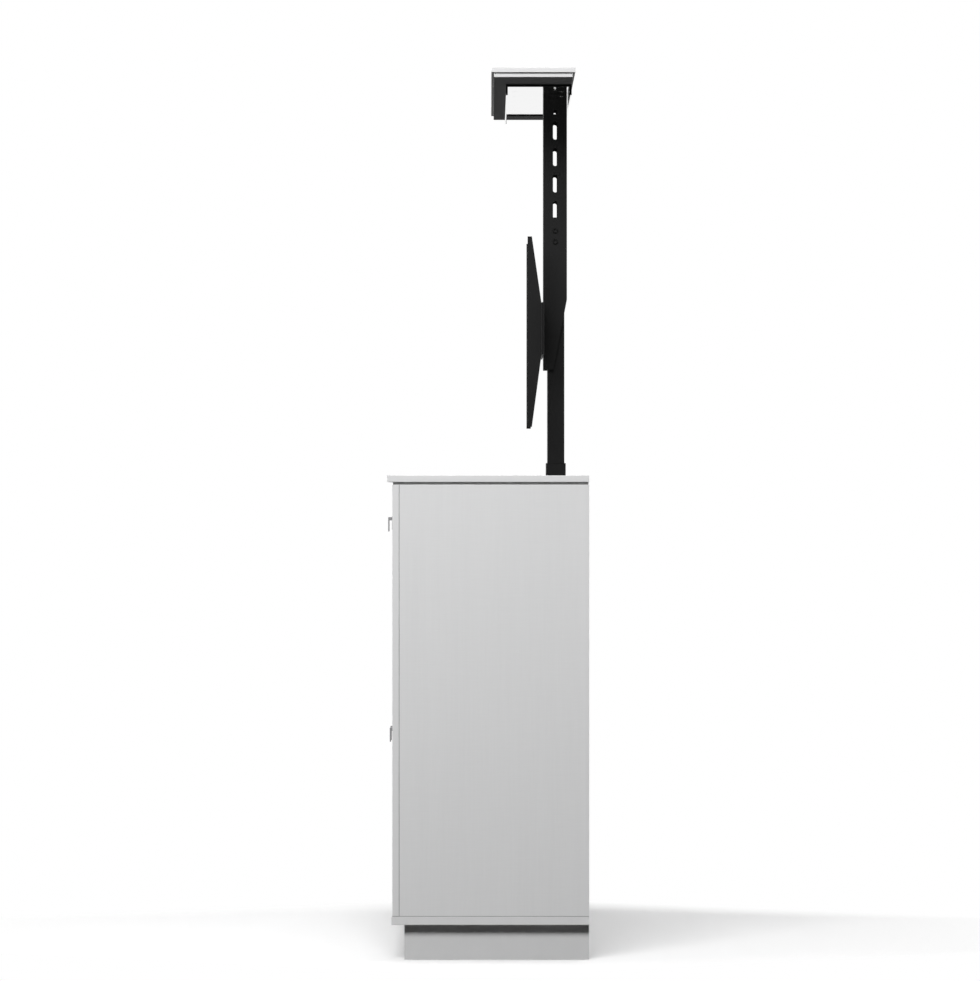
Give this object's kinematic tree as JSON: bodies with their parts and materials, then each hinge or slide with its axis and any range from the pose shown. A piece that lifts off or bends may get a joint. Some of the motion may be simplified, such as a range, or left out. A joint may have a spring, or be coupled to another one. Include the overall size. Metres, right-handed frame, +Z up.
{
  "type": "tv lift cabinet",
  "caption": "White cabinet with drawers over doors, and a telescopic column in its rear bay that raises a television bracket and a lid out of its top.",
  "frame": {"origin": "on the floor, under the middle of the whole part's box", "axes": "+X along the cabinet, +Y towards its back, +Z up; the pulls are on the -Y side"},
  "size_m": [1.55, 0.459, 2.02],
  "materials": {
    "white_laminate": "satin",
    "carcass_board": "satin",
    "drawer_board": "matte",
    "satin_metal": "satin",
    "black_steel": "satin black powder coat",
    "plated_steel": "bright plated",
    "grey_tube": "satin",
    "black_plastic": "matte",
    "lid_dark": "matte",
    "seal_rubber": "matte",
    "grey_metal": "zinc plated"
  },
  "bodies": {
    "carcass": {"plinth_boards": "white_laminate", "bottom_panel": "white_laminate", "side_panel_left": "white_laminate", "side_panel_right": "white_laminate", "stile_left": "white_laminate", "stile_right": "white_laminate", "inner_stiles": "white_laminate", "dividers": "carcass_board", "drawer_rails": "carcass_board", "partition_panel": "carcass_board", "shelves": "carcass_board", "shelf_pins": "grey_metal", "back_panel": "white_laminate", "cable_grommets": "black_plastic", "sub_top_frame": "carcass_board", "top_panel": "white_laminate", "drawer_runners": "grey_metal", "door_pivot_pins": "grey_metal", "door_catches": "black_plastic", "lift_base_plate": "black_steel", "lift_gearbox": "black_steel", "lift_motor": "black_steel", "outer_tube": "grey_tube", "column_bracket": "black_steel", "control_box": "black_plastic"},
    "left_drawer": {"drawer_front_left": "white_laminate", "drawer_pull_left": "satin_metal", "drawer_box_left": "drawer_board", "drawer_channel_left": "grey_metal"},
    "middle_drawer": {"drawer_front_middle": "white_laminate", "drawer_pull_middle": "satin_metal", "drawer_box_middle": "drawer_board", "drawer_channel_middle": "grey_metal"},
    "right_drawer": {"drawer_front_right": "white_laminate", "drawer_pull_right": "satin_metal", "drawer_box_right": "drawer_board", "drawer_channel_right": "grey_metal"},
    "left_door": {"door_left": "white_laminate", "door_pull_left": "satin_metal"},
    "middle_door": {"door_middle": "white_laminate", "door_pull_middle": "satin_metal"},
    "right_door": {"door_right": "white_laminate", "door_pull_right": "satin_metal"},
    "screw": {"lift_screw": "grey_metal"},
    "middle_stage": {"middle_tube": "grey_tube", "drive_nut": "black_plastic"},
    "top_stage": {"inner_tube": "grey_tube", "mast": "black_steel", "mast_spacers": "black_steel", "lift_bolts": "black_steel", "mount_plate": "black_steel", "tv_arm_left": "black_steel", "tv_arm_right": "black_steel", "lid_top": "white_laminate", "lid_plug": "white_laminate", "lid_backing": "lid_dark", "lid_seal": "seal_rubber", "lid_tray": "plated_steel", "lid_screws": "grey_metal"}
  },
  "joints": [
    {"name": "drawer_left_slide", "type": "slide", "parent": "carcass", "child": "left_drawer", "axis": [0, -1, 0], "range_m": [0, 0.13]},
    {"name": "drawer_middle_slide", "type": "slide", "parent": "carcass", "child": "middle_drawer", "axis": [0, -1, 0], "range_m": [0, 0.13]},
    {"name": "drawer_right_slide", "type": "slide", "parent": "carcass", "child": "right_drawer", "axis": [0, -1, 0], "range_m": [0, 0.13]},
    {"name": "door_left_hinge", "type": "hinge", "parent": "carcass", "child": "left_door", "pos_m": [-0.722, -0.2095, 0.4845], "axis": [0, 0, -1], "range_deg": [0, 95]},
    {"name": "door_middle_hinge", "type": "hinge", "parent": "carcass", "child": "middle_door", "pos_m": [-0.21867, -0.2095, 0.4845], "axis": [0, 0, -1], "range_deg": [0, 95]},
    {"name": "door_right_hinge", "type": "hinge", "parent": "carcass", "child": "right_door", "pos_m": [0.722, -0.2095, 0.4845], "axis": [0, 0, 1], "range_deg": [0, 95]},
    {"name": "lift_middle_slide", "type": "slide", "parent": "carcass", "child": "middle_stage", "axis": [0, 0, 1], "range_m": [-0.456, 0]},
    {"name": "lift_top_slide", "type": "slide", "parent": "middle_stage", "child": "top_stage", "axis": [0, 0, 1], "range_m": [-0.456, 0]},
    {"name": "lift_screw_turn", "type": "hinge", "parent": "carcass", "child": "screw", "pos_m": [0, 0.1627, 0.4], "axis": [0, 0, 1], "range_deg": [-8210, 0]}
  ],
  "couplings": [
    {"joint": "lift_top_slide", "follows": "lift_middle_slide", "ratio": 1},
    {"joint": "lift_screw_turn", "follows": "lift_middle_slide", "rad_per_m": 314.16}
  ]
}
